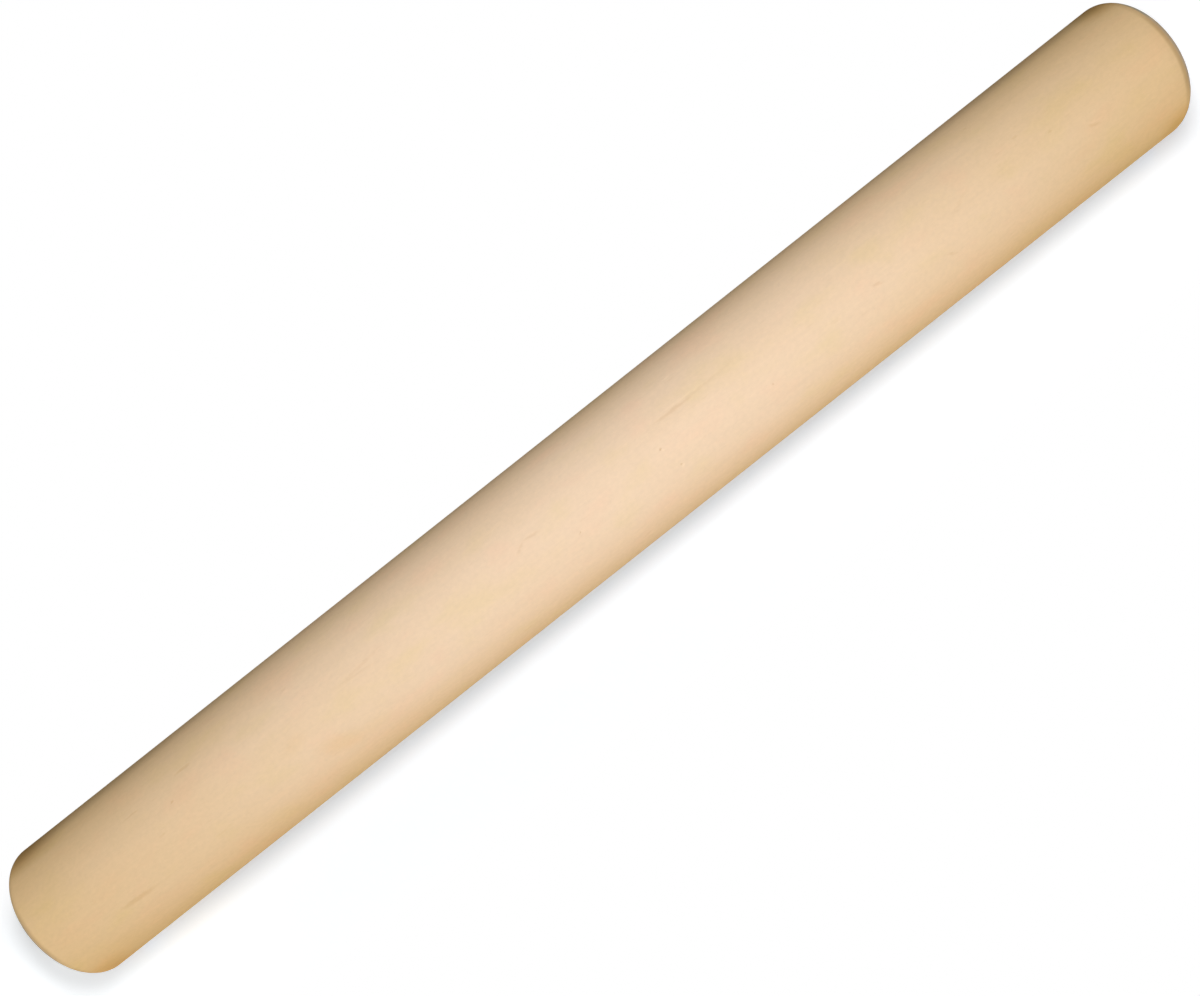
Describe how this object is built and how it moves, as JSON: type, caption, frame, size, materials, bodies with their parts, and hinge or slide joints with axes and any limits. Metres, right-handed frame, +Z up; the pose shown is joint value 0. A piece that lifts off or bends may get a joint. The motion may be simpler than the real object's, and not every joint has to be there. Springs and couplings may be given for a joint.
{
  "type": "straight rolling pin",
  "caption": "Straight solid wooden rolling pin: a plain round rod with flat ends and softly sanded rims, rolled under the palms to flatten dough.",
  "frame": {"origin": "on the worktop surface, under the middle of the pin as it lies on its side, so the pin's axis is 25 mm above the origin", "axes": "+X along the pin, towards the end whose rim is eased with the wider arc; +Y across it, level with the worktop; +Z up from the worktop"},
  "size_m": [0.457, 0.05, 0.05],
  "materials": {
    "pale_wood": "matte"
  },
  "bodies": {
    "root": {"rolling_pin": "pale_wood"}
  },
  "joints": []
}
